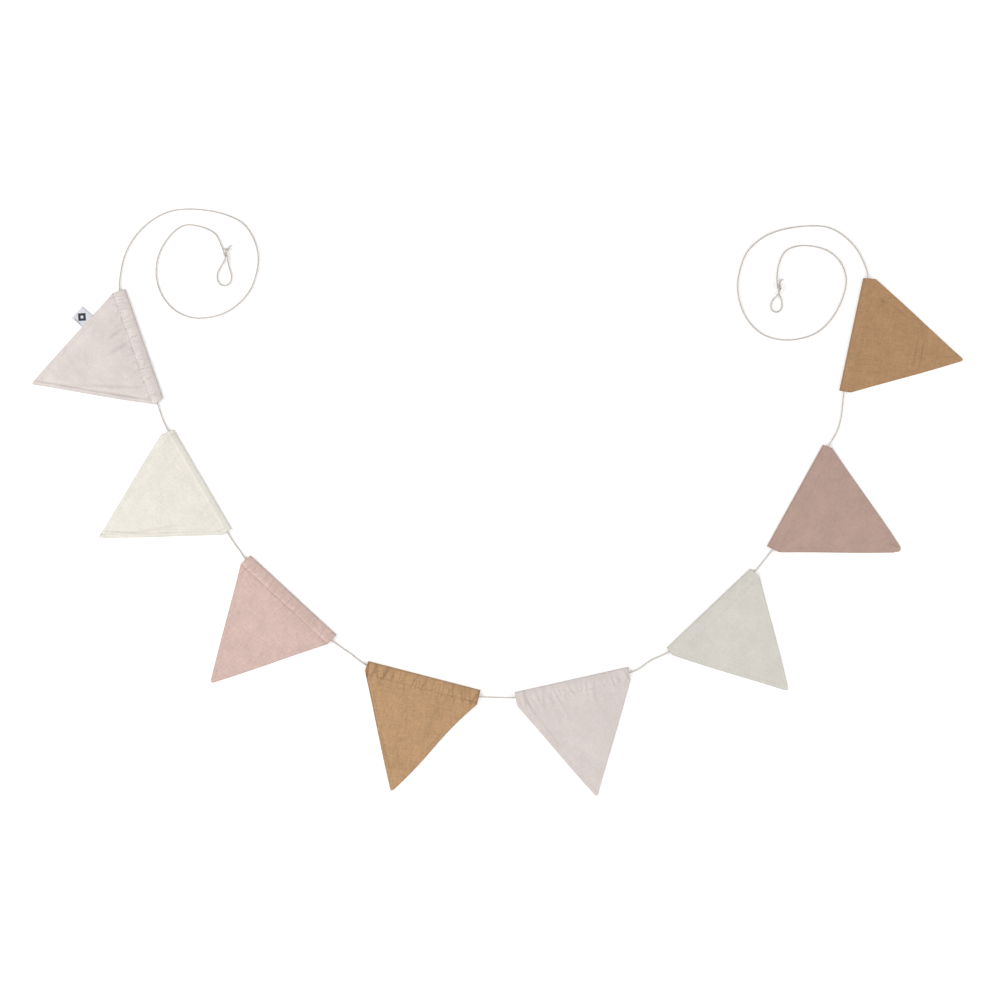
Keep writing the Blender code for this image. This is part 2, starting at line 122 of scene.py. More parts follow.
# Label
LABEL_WIDTH = 22.0
LABEL_LENGTH = 19.0
LABEL_ALONG = 53.0
LABEL_LAYER = 0.42
LABEL_HIGH = 1.35
LABEL_LIFT = 0.35  # how much higher one corner of its fold stands
LABEL_SLACK = 0.12  # how far its upper layer bulges
LABEL_TUCK = 2.0  # how far its open end goes into the seam
LABEL_MIDDLE = 9.2  # of its motif, out from the seam
LOZENGE = 7.4  # half of each diagonal
LOZENGE_HOLE = 2.6
BAR_SIDE = 8.7  # a thin bar beside the lozenge
BAR_WIDTH = 0.7
BAR_LENGTH = 11.0

# x, y, turn    middle of the heading's edge and the heading's direction
# width, drop   along the heading, and from the heading to the tip
# tip           sideways place of the tip, measured from the middle
# left, right   depth of the channel's open ends
# flare_l, _r   how much wider the heading is at the foot of each end
# bow_l, bow_r  bulge of each side
# wave_l, _r    how far each side swings in and then out on its way to the tip
# cord_l, _r    depth of the cord where it enters and leaves
# blunt         radius of the tip
Pennant = namedtuple(
    "Pennant",
    "node x y turn width drop tip left flare_l right flare_r bow_l bow_r wave_l wave_r"
    " cord_l cord_r blunt",
)
PENNANTS = [
    (-486.9, 267.4, -70.8, 158.8, 164.8, 2.0, 18.4, 0.4, 13.9, 5.5, 0.5, 0.8, 0.3, -0.4, 8.6, 10.4, 1.6),
    (-406.5, 80.2, -59.7, 159.0, 164.0, -2.5, 19.2, 2.2, 16.7, 0.8, 0.4, 0.6, -0.3, 0.4, 7.7, 7.8, 1.6),
    (-281.2, -80.1, -42.7, 161.9, 165.6, -1.9, 17.9, 1.6, 17.8, -0.6, 0.3, 0.5, 0.3, 0.3, 8.5, 10.2, 2.0),
    (-100.5, -191.0, -14.5, 160.0, 165.2, -4.5, 14.2, 1.4, 20.3, 0.1, 0.4, -0.8, 0.3, 1.8, 6.4, 9.2, 1.8),
    (102.0, -196.4, 12.6, 161.0, 164.5, -0.8, 20.1, 0.4, 18.2, -0.7, 0.3, 0.5, 0.4, -0.3, 7.3, 8.8, 2.0),
    (290.9, -98.0, 43.5, 159.2, 157.1, 1.6, 13.5, 1.0, 17.1, 1.8, 0.6, 0.9, -0.4, 0.3, 6.3, 7.9, 3.0),
    (410.3, 57.3, 61.1, 159.9, 163.8, 4.4, 19.7, -1.1, 13.7, 2.2, 0.6, 0.6, 0.4, 0.3, 9.5, 7.9, 5.2),
    (488.1, 279.5, 78.0, 158.6, 157.8, -2.4, 16.1, -0.7, 17.1, 2.4, 0.6, 0.4, 0.3, -0.4, 6.6, 6.5, 2.2),
]
PENNANTS = [Pennant("flag_%d" % number, *row) for number, row in enumerate(PENNANTS, 1)]

# How each pennant's cloth looks and lies.
# slot          the record's name for its cloth
# colour        sRGB
# puckers       how many small folds the stitches draw up
# rise          their height
# above, below  how far they run from the stitches, into the channel and into the body
# ends          how much taller they are towards the channel's ends
# outer, inner  how level the cloth lies over the channel, on the cord's outer and inner
#               side: 1 is a straight slope from the cord, and more is fuller
# seam          depth of the groove that the stitches pull
# wander        how far the line of stitches leaves a straight line
# hem_l, hem_r  how far the seam allowance stands up along each side
# swell         height of the soft, wide unevenness
# crumple       and of the fine one
# slub          how strongly thick threads show, and the painted shade at the edges
# gather        how strongly fine creases show across the stitches, as bumps and painted shade
# shade         painted shade on the cloth between the cord and the stitches
Look = namedtuple(
    "Look",
    "slot colour puckers rise above below ends outer inner seam wander hem_l hem_r swell crumple slub"
    " gather shade",
)
LOOKS = [
    Look("cloth_lilac", (221, 211, 207), 21, 1.9, 19.0, 9.0, 0.3, 3.0, 1.3, 0.0, 0.5,
         0.2, 0.5, 1.3, 0.3, 0.5, 0.8, 0.0),
    Look("cloth_ivory", (234, 229, 219), 12, 0.6, 14.0, 10.0, 0.4, 1.0, 0.8, 0.0, 0.25,
         0.2, 0.4, 0.9, 0.2, 0.6, 0.3, 0.22),
    Look("cloth_rose", (215, 187, 178), 22, 1.2, 22.0, 6.0, 0.4, 1.1, 5.0, 0.5, 0.2,
         0.2, 0.2, 0.8, 0.24, 1.3, 0.75, 0.0),
    Look("cloth_camel", (191, 153, 114), 27, 1.1, 18.0, 9.0, 2.2, 1.1, 3.2, 0.55, 0.35,
         0.35, 0.3, 0.9, 0.28, 2.0, 1.1, 0.0),
    Look("cloth_lilac", (221, 211, 207), 26, 1.2, 18.0, 8.0, 0.8, 2.6, 1.6, 0.06, 0.3,
         0.25, 0.15, 0.9, 0.2, 0.4, 0.42, 0.0),
    Look("cloth_stone", (218, 214, 205), 7, 0.35, 6.0, 12.0, 0.3, 3.0, 1.8, 0.08, 0.2,
         0.15, 0.15, 0.8, 0.14, 0.6, 0.15, 0.0),
    Look("cloth_mauve", (189, 160, 148), 4, 0.2, 5.0, 10.0, 0.2, 1.8, 1.7, 0.04, 0.2,
         0.12, 0.2, 0.7, 0.13, 1.0, 0.1, 0.0),
    Look("cloth_camel_dark", (183, 144, 106), 8, 0.45, 7.0, 9.0, 0.5, 3.0, 1.9, 0.12, 0.2,
         0.15, 0.15, 0.85, 0.2, 1.9, 0.3, 0.0),
]

# Creases of each pennant: x across and depth below the heading at one end, the same at the
# other, how high the cloth stands along it and how far it reaches to each side. A negative
# height is a trough, which also gets painted shade.
CREASES = {
    "flag_1": [
        (-46, 30, -10, 118, 0.5, 14), (34, 24, 6, 92, 0.45, 12), (-30, 20, -22, 44, -0.45, 5),
        (-8, 20, -2, 52, -0.4, 5), (57, 22, 22, 112, -0.3, 4), (74, 22, 36, 92, -0.4, 2.4),
        (30, 102, 5, 148, -0.4, 2.2),
    ],
    "flag_2": [
        (20, 34, -26, 104, 0.35, 14), (38, 60, 10, 136, -0.25, 4),
        (-6.6, 154, 20.4, 113, -0.55, 1.8), (28, 91, 68, 20, -0.16, 1.8),
        (-8, 156, -3, 162, -0.5, 3),
    ],
    "flag_3": [(-30, 120, 24, 96, 0.35, 12), (-12, 138, 10, 128, 0.25, 4)],
    "flag_4": [
        (-34, 26, -6, 96, 0.4, 12), (30, 40, 20, 90, -0.3, 9), (-71, 30, -58, 58, -0.4, 2.6),
        (-57, 62, -45, 84, -0.45, 2.6), (-38, 92, -22, 126, -0.4, 2.6),
    ],
    "flag_5": [(-52, 34, -16, 124, 0.5, 10), (-60, 30, -30, 96, -0.25, 4)],
    "flag_6": [(18, 40, 2, 112, 0.35, 16)],
    "flag_7": [(-18, 128, 26, 140, 0.45, 9), (5, 146, 8, 160, -0.6, 2.2)],
    "flag_8": [
        (-32, 96.5, 22, 96.5, 0.4, 5), (-30, 92, 20, 92, -0.6, 1.9),
        (-28, 101.2, 21, 101, -0.55, 1.9), (50, 50, 40, 72, -0.4, 3), (-5, 128, 1, 150, -0.3, 3),
        (30, 26, 44, 74, 0.4, 9), (62, 24, 50, 40, -0.3, 4),
    ],
}

# The cord's own route where it lies free, from the left knot to the right one.
LEFT_SWIRL = [
    (-380.2, 400.0), (-389.0, 417.5), (-408.5, 427.7), (-430.9, 430.0), (-446.5, 421.0),
    (-461.4, 401.8), (-469.6, 380.5), (-470.4, 357.0), (-462.6, 333.1), (-446.8, 314.0),
    (-423.0, 302.9), (-392.7, 303.8), (-366.3, 314.6), (-342.6, 338.4), (-332.0, 366.2),
    (-330.3, 388.5), (-337.2, 413.0), (-351.8, 432.8), (-375.6, 444.7), (-400.0, 450.3),
    (-428.3, 452.2), (-452.2, 448.9), (-475.9, 437.4), (-499.6, 414.9), (-514.1, 388.5),
    (-520.4, 360.0),
]
RIGHT_SWIRL = [
    (506.2, 376.8), (494.0, 399.2), (472.9, 419.0), (455.1, 427.2), (433.3, 429.1),
    (406.9, 426.7), (384.4, 421.4), (363.3, 411.0), (344.8, 393.2), (335.6, 371.5),
    (331.4, 347.0), (334.9, 322.0), (346.2, 298.1), (365.9, 279.7), (391.0, 272.1),
    (418.8, 273.7), (442.5, 283.0), (461.0, 300.8), (475.5, 327.3), (481.2, 355.0),
    (474.2, 377.4), (458.4, 393.2), (437.3, 400.6), (413.5, 401.1), (397.2, 393.6),
    (388.6, 377.0), (385.8, 360.0),
]
# Between one pennant and the next, in order.
GAPS = [
    [(-461.4, 161.5)],
    [(-366.0, -4.1), (-355.1, -19.3)],
    [(-203.3, -160.4)],
    [(-10.1, -220.9), (3.7, -221.4)],
    [(196.9, -180.7), (210.7, -170.8)],
    [(362.5, -39.1), (373.6, -25.0)],
    [(469.4, 147.7), (474.2, 165.7), (475.6, 175.3)],
]

# A knot at each end: its middle, the direction in which the cord leaves it, how many times
# the cut end goes round it and at what radius. The loop and the cut end are routes, with a
# height where the cord is off the floor.
Knot = namedtuple("Knot", "x y turn wraps radius loop tail")
LEFT_KNOT = Knot(
    -375.3, 389.2, 104.0, 2.0, 1.9,
    [(-370.6, 373.2), (-367.9, 364.5), (-367.1, 357.2), (-368.6, 351.6),
     (-372.6, 347.8), (-378.0, 346.6), (-382.9, 349.0), (-386.1, 354.4),
     (-386.6, 360.2), (-385.2, 366.2), (-381.6, 372.6)],
    [(-367.4, 402.4), (-369.4, 400.4, 1.3)],
)
RIGHT_KNOT = Knot(
    388.2, 345.2, 101.0, 3.0, 2.3,
    [(389.6, 339.4, 2.9), (388.1, 336.5, 3.15), (385.1, 332.2, 2.4), (380.6, 327.6, 1.3),
     (377.8, 321.6), (377.4, 316.4), (379.6, 312.2), (384.4, 310.0),
     (389.4, 311.9), (392.3, 316.4), (392.4, 323.3), (390.6, 330.6),
     (388.5, 335.4)],
    [(394.2, 355.0), (392.6, 355.0, 1.1), (391.3, 353.2, 1.4)],
)
# The small knot near the left cut end is turns of the cut end alone.
STOPPER = Knot(-372.9, 396.4, 66.0, 1.5, 1.8, [], [])

CORD_COLOUR = (205, 197, 189)
LABEL_COLOUR = (217, 218, 224)
LABEL_INK = (52, 54, 66)
FLOOR_COLOUR = (252, 252, 252)


# --- Numbers ---


def blend(a, b, share):
    return a + (b - a) * share


def eased(share):
    """0 to 1, level at both ends."""
    share = np.clip(share, 0.0, 1.0)
    return share * share * (3 - 2 * share)


def bell(x):
    """1 in the middle and near 0 from 2 on."""
    return np.exp(-(x**2))


def noise(x, y, cell, seed):
    """Smooth random heights from -1 to 1; cell is the size of one bump."""
    size = 64
    grid = np.random.default_rng(seed).uniform(-1.0, 1.0, (size, size))
    gx, gy = x / cell + size, y / cell + size
    ix, iy = np.floor(gx).astype(int), np.floor(gy).astype(int)
    fx, fy = gx - ix, gy - iy
    fx, fy = (f**3 * (f * (6 * f - 15) + 10) for f in (fx, fy))
    near = blend(grid[ix % size, iy % size], grid[(ix + 1) % size, iy % size], fx)
    far = blend(grid[ix % size, (iy + 1) % size], grid[(ix + 1) % size, (iy + 1) % size], fx)
    return blend(near, far, fy)


def linear(colour):
    """An sRGB colour, 0 to 255, as the shader's linear one."""
    share = np.array(colour) / 255.0
    return tuple(np.where(share <= 0.04045, share / 12.92, ((share + 0.055) / 1.055) ** 2.4))


# --- Meshes ---


def grid_faces(index, turned=False):
    """Quads between the rows and columns of an array of point numbers."""
    corners = [index[:-1, :-1], index[:-1, 1:], index[1:, 1:], index[1:, :-1]]
    quads = np.stack(corners, axis=-1).reshape(-1, 4)
    return quads[:, ::-1] if turned else quads


def new_object(name, data):
    obj = bpy.data.objects.new(name, data)
    bpy.context.scene.collection.objects.link(obj)
    return obj


def mesh_object(name, points, faces, material, painted_shade=None):
    """A smooth mesh object from points in millimetres; points that no face uses are left out.
    The share of painted shade at each point is kept there for the material."""
    used, faces = np.unique(faces, return_inverse=True)
    faces = faces.reshape(-1, 4)
    mesh = bpy.data.meshes.new(name)
    mesh.from_pydata((points[used] * MM).tolist(), [], faces.tolist())
    mesh.shade_smooth()
    mesh.update()
    mesh.materials.append(material)
    if painted_shade is not None:
        layer = mesh.attributes.new("painted_shade", "FLOAT", "POINT")
        layer.data.foreach_set("value", painted_shade[used].astype(np.float32))
    return new_object(name, mesh)


def place_like(obj, pennant):
    obj.location = (pennant.x * MM, pennant.y * MM, 0.0)
    obj.rotation_euler.z = math.radians(pennant.turn)
    return obj


# --- Nodes ---

THREAD_FLATNESS = 0.35  # 0 is a flat top and 1 a half wave
CLOTH_PITCH = 0.5  # from thread to thread
TAPE_PITCH = 0.28


def add_node(tree, kind, inputs=None, **settings):
    """A node; each of its inputs is given a value, or the output that feeds it."""
    node = tree.nodes.new("ShaderNode" + kind)
    for name, value in settings.items():
        setattr(node, name, value)
    for key, value in (inputs or {}).items():
        if isinstance(value, bpy.types.NodeSocket):
            tree.links.new(value, node.inputs[key])
        else:
            node.inputs[key].default_value = value
    return node


def maths(tree, operation, a, b=0.0):
    return add_node(tree, "Math", {0: a, 1: b}, operation=operation).outputs[0]


def product(tree, a, b):
    return maths(tree, "MULTIPLY", a, b)


def new_material(name, roughness, sheen=0.0):
    """A material, its tree and its shader."""
    material = bpy.data.materials.new(name)
    material.use_nodes = True
    shader = material.node_tree.nodes["Principled BSDF"]
    shader.inputs["Roughness"].default_value = roughness
    shader.inputs["Sheen Weight"].default_value = sheen
    shader.inputs["Sheen Roughness"].default_value = 0.45
    shader.inputs["Specular IOR Level"].default_value = 0.25
    return material, material.node_tree, shader


def own_place(tree, shift=0.0):
    """Where a point is in its object's own axes, in millimetres."""
    place = add_node(tree, "TexCoord").outputs["Object"]
    inputs = {"Vector": place, "Scale": (1 / MM,) * 3, "Location": (shift,) * 3}
    return add_node(tree, "Mapping", inputs).outputs[0]


def speckle(tree, place, stretch, detail=2.0):
    """Noise from 0 to 1, stretched to this many millimetres along each axis."""
    scale = tuple(1 / size for size in stretch)
    squeezed = add_node(tree, "Mapping", {"Vector": place, "Scale": scale}).outputs[0]
    inputs = {"Vector": squeezed, "Scale": 1.0, "Detail": detail}
    return add_node(tree, "TexNoise", inputs).outputs[0]


def weave_height(tree, place, pitch):
    """Over-and-under threads of a plain weave, from 0 to 1."""
    axes = add_node(tree, "SeparateXYZ", {0: place})
    across = maths(tree, "SINE", product(tree, axes.outputs[0], math.pi / pitch))
    along = maths(tree, "SINE", product(tree, axes.outputs[1], math.pi / pitch))
    over = maths(tree, "GREATER_THAN", product(tree, across, along), 0.0)
    across = maths(tree, "ABSOLUTE", across)
    along = maths(tree, "ABSOLUTE", along)
    warp = product(tree, across, maths(tree, "POWER", along, THREAD_FLATNESS))
    weft = product(tree, maths(tree, "POWER", across, THREAD_FLATNESS), along)
    gain = product(tree, over, maths(tree, "SUBTRACT", warp, weft))
    return maths(tree, "ADD", weft, gain)


def weighted(tree, *pairs):
    """The sum of outputs, each times its weight, round a middle of 0.5."""
    total = 0.5 - 0.5 * sum(weight for _, weight in pairs)
    for value, weight in pairs:
        total = maths(tree, "ADD", product(tree, value, weight), total)
    return total


def shaded(tree, factor, colour, spread):
    """colour, from darker to lighter by spread as factor goes from 0 to 1."""
    base = np.array(linear(colour))
    dark = (*np.clip(base * (1 - spread), 0, 1), 1.0)
    light = (*np.clip(base * (1 + spread), 0, 1), 1.0)
    return add_node(tree, "MixRGB", {"Fac": factor, "Color1": dark, "Color2": light}).outputs[0]


def add_bump(tree, shader, layers):
    """Bumps on the shader from pairs of a height from 0 to 1 and its depth in millimetres."""
    normal = None
    for height, depth in layers:
        inputs = {"Height": height, "Distance": depth * MM, "Strength": 1.0}
        if normal is not None:
            inputs["Normal"] = normal
        normal = add_node(tree, "Bump", inputs).outputs[0]
    tree.links.new(normal, shader.inputs["Normal"])


def gathers(tree, place):
    """Thin broken creases across the stitches, 1 along each and 0 between them."""
    axes = add_node(tree, "SeparateXYZ", {0: own_place(tree)})
    depth = product(tree, axes.outputs[1], -1.0)
    sway = product(tree, speckle(tree, place, GATHER_BENDS), GATHER_SWAY)
    count = maths(tree, "ADD", maths(tree, "DIVIDE", axes.outputs[0], GATHER_PITCH), sway)
    middle = maths(tree, "PINGPONG", count, 0.5)
    shown = speckle(tree, place, GATHER_PATCH, detail=1.0)
    fold = 1.0
    for value, (low, high) in (
        (middle, (GATHER_HALF, 0.0)),
        (shown, GATHER_SHOWN),
        (depth, GATHER_ABOVE),
        (depth, GATHER_BELOW),
    ):
        inputs = {"Value": value, "From Min": low, "From Max": high}
        part = add_node(tree, "MapRange", inputs, interpolation_type="SMOOTHSTEP").outputs[0]
        fold = product(tree, part, fold)
    return fold


def cloth_material(name, look, shift):
    """Plain-woven cotton with uneven threads, a soft nap, creases across the stitches and
    painted shade.
    """
    material, tree, shader = new_material(name, 0.9, sheen=0.22)
    place = own_place(tree, shift)
    fold = gathers(tree, place)
    across = speckle(tree, place, (11.0, 0.8, 1.0))
    along = speckle(tree, place, (0.8, 13.0, 1.0))
    mottle = speckle(tree, place, (3.2,) * 3, detail=4.0)
    cloud = speckle(tree, place, (26.0,) * 3)
    slubs = 1.1 * look.slub
    factor = weighted(tree, (across, slubs), (along, slubs), (mottle, 0.9), (cloud, 0.8))
    spread = 0.085 + 0.03 * look.slub
    # The darker copy of the cloth's colour that painted shade goes towards.
    shade_colour = (*(np.array(linear(look.colour)) * CREASE_SHADE), 1.0)
    # The share of painted shade that the mesh carries at each point.
    painted_shade = add_node(tree, "Attribute", attribute_name="painted_shade").outputs["Fac"]
    # Painted shade in the fine creases across the stitches, by the cloth's gather strength; the larger of
    # it and the mesh's share is used.
    share = maths(tree, "MAXIMUM", product(tree, fold, 0.5 * look.gather), painted_shade)
    inputs = {"Fac": share, "Color1": shaded(tree, factor, look.colour, spread), "Color2": shade_colour}
    tree.links.new(add_node(tree, "MixRGB", inputs).outputs[0], shader.inputs["Base Color"])
    weave = weave_height(tree, place, CLOTH_PITCH)
    threads = weighted(tree, (across, 1.0), (along, 1.0))
    groove = maths(tree, "SUBTRACT", 1.0, fold)
    layers = [(weave, 0.09), (threads, 0.16 * look.slub), (mottle, 0.1)]
    add_bump(tree, shader, layers + [(groove, GATHER_DEPTH * look.gather)])
    return material


def thread_material(name, look):
    """Cotton thread a little paler than its cloth."""
    material, tree, shader = new_material(name, 0.7, sheen=0.1)
    place = own_place(tree)
    fibre = speckle(tree, place, (1.4, 0.25, 0.4))
    colour = blend(np.array(look.colour), 255.0, THREAD_PALER)
    tree.links.new(shaded(tree, fibre, colour, 0.12), shader.inputs["Base Color"])
    add_bump(tree, shader, [(fibre, 0.05)])
    return material


def cord_material():
    """Unbleached cotton with loose fibres."""
    material, tree, shader = new_material("cotton_cord", 0.85, sheen=0.25)
    place = own_place(tree)
    fibre = speckle(tree, place, (0.35,) * 3, detail=4.0)
    patch = speckle(tree, place, (9.0,) * 3)
    factor = weighted(tree, (fibre, 0.9), (patch, 0.4))
    tree.links.new(shaded(tree, factor, CORD_COLOUR, 0.06), shader.inputs["Base Color"])
    add_bump(tree, shader, [(fibre, 0.12)])
    return material


# --- Outline ---


def side_x(pennant, depth, side):
    """x of a pennant's edge at each depth; side is -1 for the left and +1 for the right."""
    left = side < 0
    end = pennant.left if left else pennant.right
    flare = pennant.flare_l if left else pennant.flare_r
    bow = pennant.bow_l if left else pennant.bow_r
    wave = pennant.wave_l if left else pennant.wave_r
    foot = pennant.width / 2 + flare
    half_angle = math.atan2(pennant.width / 2, pennant.drop)
    corner = pennant.drop + pennant.blunt * (1 / math.sin(half_angle) - 1)
    share = (depth - end) / (corner - end)
    swing = bow * np.sin(math.pi * share) - wave * np.sin(2 * math.pi * share)
    straight = blend(side * foot, pennant.tip, share) + side * swing
    x = np.where(depth <= end, side * blend(pennant.width / 2, foot, depth / end), straight)
    rest = pennant.drop - depth
    square = pennant.blunt**2 - (pennant.blunt - rest) ** 2
    near = pennant.tip + side * np.sqrt(np.maximum(square, LEAST_HALF**2))
    clipped = np.minimum(x, near) if side > 0 else np.maximum(x, near)
    return np.where(rest < pennant.blunt, clipped, x)


def cord_depth(pennant, x):
    return blend(pennant.cord_l, pennant.cord_r, x / pennant.width + 0.5)


def to_plane(pennant, x, depth):
    """A point across the heading and below it, in the frame's own axes."""
    turn = math.radians(pennant.turn)
    return (
        pennant.x + x * math.cos(turn) + depth * math.sin(turn),
        pennant.y + x * math.sin(turn) - depth * math.cos(turn),
    )


# --- Cord ---


def knot_point(knot, along, across, height):
    """A point given along a knot's axis and to its side."""
    turn = math.radians(knot.turn)
    return (
        knot.x + along * math.cos(turn) + across * math.sin(turn),
        knot.y + along * math.sin(turn) - across * math.cos(turn),
        height,
    )


def axis_height(knot):
    """Height of a knot's axis, so that its lowest wrap lies on the floor."""
    return CORD / 2 + knot.radius * WRAP_FLAT + WRAP_FLOOR


def coil(knot):
    """Points wound round a knot's axis, from the end that the cord leaves to the other."""
    height = axis_height(knot)
    count = round(knot.wraps * WRAP_POINTS)
    points = []
    for i in range(count + 1):
        turn = 2 * math.pi * i / WRAP_POINTS
        along = WRAP_PITCH * (knot.wraps / 2 - i / WRAP_POINTS)
        lift = knot.radius * WRAP_FLAT * math.sin(turn)
        points.append(knot_point(knot, along, knot.radius * math.cos(turn), height + lift))
    return points


def tied_end(knot, tail):
    """From the cut end, round the knot, through the loop and back out along the axis."""
    face = KNOT_LENGTH / 2 + TOUCH
    half = WRAP_PITCH * knot.wraps / 2
    middle = axis_height(knot)
    high = KNOT_HEIGHT / 2
    core = [
        knot_point(knot, -face, -0.9, high - 0.3),
        knot_point(knot, -half, -0.2, middle),
        knot_point(knot, 0.0, 0.0, middle),
        knot_point(knot, half, -0.3, middle),
        knot_point(knot, face, -STRAND_SHIFT, high),
        knot_point(knot, face + STRAND_OUT, -STRAND_SHIFT, high * STRAND_KEPT),
    ]
    entry = [knot_point(knot, face, STRAND_SHIFT + 0.2, high)]
    return tail + entry + coil(knot) + lying(knot.loop) + core


def lying(points):
    """The same points, each without a height at that of a cord on the floor."""
    return [(*point, CORD_LIES)[:3] for point in points]


def cord_route():
    """Route points of the whole cord, from cut end to cut end, in millimetres."""
    route = tied_end(LEFT_KNOT, lying(LEFT_KNOT.tail) + coil(STOPPER))
    route += lying(LEFT_SWIRL)
    for pennant, gap in zip(PENNANTS, GAPS + [[]]):
        left = float(side_x(pennant, pennant.cord_l, -1))
        right = float(side_x(pennant, pennant.cord_r, 1))
        for share in (0.0, 0.25, 0.5, 0.75, 1.0):
            x = blend(left, right, share)
            route.append((*to_plane(pennant, x, cord_depth(pennant, x)), CORD_THREADED))
        route += lying(gap)
    route += lying(RIGHT_SWIRL)
    route += reversed(tied_end(RIGHT_KNOT, lying(RIGHT_KNOT.tail)))
    return np.array(route)


def smooth(route):
    """A smooth curve through the route: centripetal in the plane, and in height a cubic
    that stays between the route's own heights."""
    points = np.vstack([2 * route[0] - route[1], route, 2 * route[-1] - route[-2]])
    steps = np.sqrt(np.linalg.norm(np.diff(points, axis=0), axis=1))
    slopes = np.diff(points, axis=0) / steps[:, None]
    before, after = slopes[:-1], slopes[1:]
    wide = (steps[:-1] + steps[1:])[:, None]
    tangents = before - (points[2:] - points[:-2]) / wide + after
    rise = before[:, 2] * after[:, 2]
    total = before[:, 2] + after[:, 2]
    tangents[:, 2] = np.where(rise > 0, 2 * rise / np.where(rise > 0, total, 1.0), 0.0)
    share = (np.arange(ROUTE_STEPS) / ROUTE_STEPS)[None, :, None]
    width = steps[1:-1, None, None]
    start, end = route[:-1, None, :], route[1:, None, :]
    out, into = tangents[:-1, None, :] * width, tangents[1:, None, :] * width
    curve = (
        (2 * share**3 - 3 * share**2 + 1) * start
        + (share**3 - 2 * share**2 + share) * out
        + (3 * share**2 - 2 * share**3) * end
        + (share**3 - share**2) * into
    )
    return np.vstack([curve.reshape(-1, 3), route[-1]])


def evenly(points, step):
    """The same line with its points step apart."""
    along = np.concatenate([[0.0], np.cumsum(np.linalg.norm(np.diff(points, axis=0), axis=1))])
    count = round(along[-1] / step)
    wanted = np.linspace(0.0, along[-1], count + 1)
    return np.stack([np.interp(wanted, along, points[:, i]) for i in range(3)], axis=1)


def ring_frames(points):
    """Two directions across the line at each point, turning as little as they can."""
    ahead = np.gradient(points, axis=0)
    ahead /= np.linalg.norm(ahead, axis=1)[:, None]
    side = np.cross(ahead[0], (0.0, 0.0, 1.0))
    sides = []
    for direction in ahead:
        side = side - direction * side.dot(direction)
        side = side / np.linalg.norm(side)
        sides.append(side)
    sides = np.array(sides)
    return sides, np.cross(ahead, sides)


def add_cord():
    """One twisted cord, as a tube whose rings turn with its strands."""
    line = evenly(smooth(cord_route()), CORD_STEP)
    sides, ups = ring_frames(line)
    turns = np.arange(CORD_SIDES) * 2 * math.pi / CORD_SIDES
    lay = np.arange(len(line)) * 2 * math.pi * CORD_STEP / CORD_LAY
    angle = turns[None, :] + lay[:, None]
    lobe = np.abs(np.sin(CORD_STRANDS * turns / 2))
    radius = CORD / 2 * (1 - CORD_GROOVE * (1 - lobe) ** GROOVE_SHARP)
    rings = line[:, None, :] + radius[None, :, None] * (
        np.cos(angle)[..., None] * sides[:, None, :] + np.sin(angle)[..., None] * ups[:, None, :]
    )
    count = len(line) * CORD_SIDES
    index = np.arange(count).reshape(len(line), CORD_SIDES)
    faces = [grid_faces(np.hstack([index, index[:, :1]]))]
    # Each cut end is closed by a narrower ring and a middle point.
    points = [rings.reshape(-1, 3)]
    for end, turned in ((0, True), (-1, False)):
        points.append(np.vstack([blend(line[end], rings[end], 0.5), line[end]]))
        ring = count + np.arange(CORD_SIDES)
        loops = np.stack([index[end], ring])
        faces.append(grid_faces(np.hstack([loops, loops[:, :1]]), turned))
        starts = ring[::2]
        middle = np.full(len(starts), count + CORD_SIDES)
        wedge = np.stack([starts, ring[1::2], np.roll(starts, -1), middle], axis=1)
        faces.append(wedge[:, ::-1] if turned else wedge)
        count += CORD_SIDES + 1
    obj = mesh_object("cotton_cord", np.vstack(points), np.vstack(faces), cord_material())
    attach(obj, "root")
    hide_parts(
        "cord", "knot_left", "loop_left", "tail_left", "knot_right", "loop_right", "tail_right"
    )


# --- Pennants ---

# Rows of a pennant's grid, as depths from and to and the step between them. The last runs
# are measured back from the tip.
ROW_RUNS = [(0.0, 0.3, 0.1), (0.3, 0.9, 0.2), (0.9, 15.7, 0.8), (15.7, 19.3, 0.3), (19.3, 46.3, 1.2)]
BODY_STEP = 1.75
TIP_RUNS = [(8.0, 1.6, 0.8), (1.6, 0.4, 0.2), (0.4, 0.0, 0.1)]
# Offsets from a side, crowded there, on the heading's own width; the rest are even.
SIDE_OFFSETS = [0.0, 0.12, 0.32, 0.62, 1.05, 1.65, 2.5, 3.6]
COLUMNS = 130

NOISE_SHIFT = 37.0  # between one pennant's noise and the next's
PINNED = 0.6  # how far before the stitches the cloth has come down

# Puckers, small folds across the stitches: first the ranges that each is drawn from
PUCKER_SLIP = (-0.4, 0.4)  # from its even place, in even distances
PUCKER_SIZE = (0.3, 1.0)
PUCKER_WIDTH = (1.5, 2.9)
PUCKER_TILT = (-0.35, 0.45)
PUCKER_ABOVE = (0.6, 1.3)  # its run into the channel, times the pennant's own
PUCKER_BELOW = (0.35, 0.6, 1.0, 2.2)  # and its run into the body, one of these
PUCKER_CHANCES = (0.3, 0.3, 0.25, 0.15)
PUCKER_SPREAD = 22  # from the stitches to where it is twice as wide
PUCKER_STEEP = (0.8, 1.5)  # how steeply it falls to its left and to its right
FOLD_SHADE_LINE = 1.5  # where the painted shade along its right side lies, in its own widths
FOLD_SHADE_HALF = 0.55
FOLD_SHADE_FADE = 1.5
PINCH = 0.6  # the share of its height that the stitches take away

CREASE_ENDS = 0.1  # the share of its half wave that is cut off at each end

HEM_LINE = HEM_WIDTH + 0.4  # where the painted shade along the seam allowance's edge lies
RIPPLE_SIZE = 5.0

